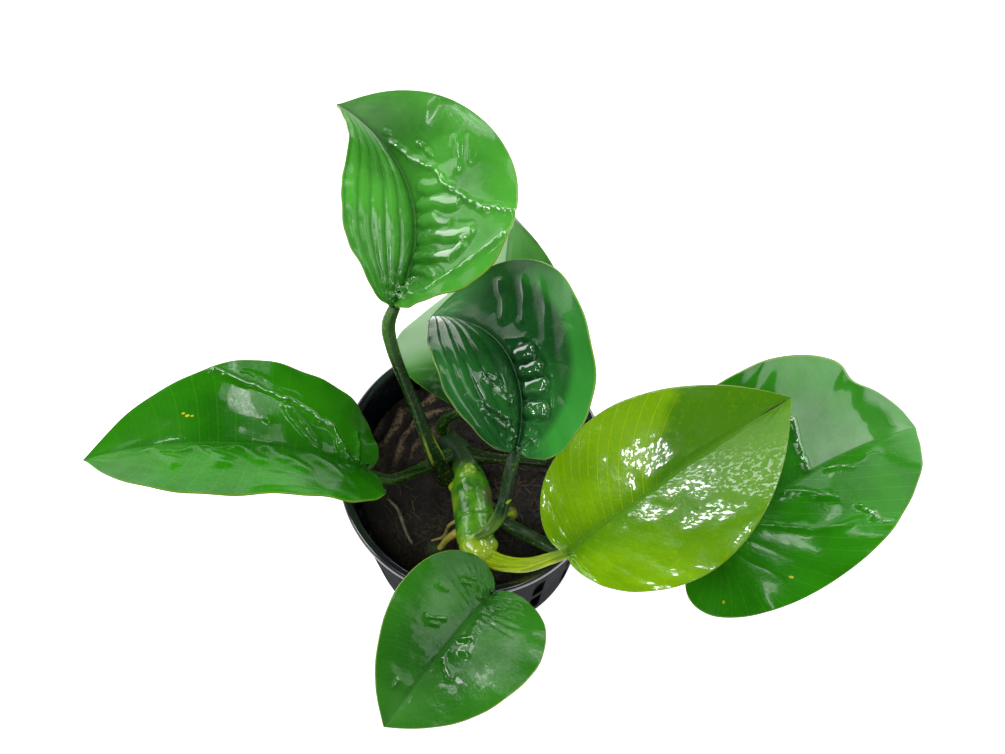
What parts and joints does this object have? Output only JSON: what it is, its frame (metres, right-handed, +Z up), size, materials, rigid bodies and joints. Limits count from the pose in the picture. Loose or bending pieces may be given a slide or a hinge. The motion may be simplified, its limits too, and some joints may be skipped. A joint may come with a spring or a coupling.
{
  "type": "potted butterfly anubias",
  "caption": "Low aquarium plant with broad heart-shaped leaves on arching stalks, rooted in mineral wool in a small slotted black pot.",
  "frame": {"origin": "centre of the pot's flat underside", "axes": "+Z up the pot, -Y towards the viewer of the picture, +X to the viewer's right, where the two longest-reaching leaves hang over the lip"},
  "size_m": [0.1919, 0.1399, 0.1019],
  "materials": {
    "pot_plastic": "satin",
    "mineral_wool": "matte",
    "rhizome_skin": "satin",
    "leaf_green": "gloss",
    "leaf_young": "gloss",
    "stalk_green": "satin",
    "stalk_young": "satin",
    "root_skin": "matte"
  },
  "bodies": {
    "root": {"pot": "pot_plastic", "wool_plug": "mineral_wool", "rhizome": "rhizome_skin", "blade_upper": "leaf_green", "blade_centre": "leaf_green", "blade_left": "leaf_green", "blade_front": "leaf_green", "blade_young": "leaf_young", "blade_right": "leaf_green", "blade_rear": "leaf_green", "stalk_upper": "stalk_green", "stalk_centre": "stalk_green", "stalk_left": "stalk_green", "stalk_front": "stalk_green", "stalk_young": "stalk_young", "stalk_right": "stalk_green", "stalk_rear": "stalk_green", "stalk_bare": "stalk_green", "root_thick": "root_skin", "root_thin": "root_skin", "root_strand": "root_skin"}
  },
  "joints": []
}
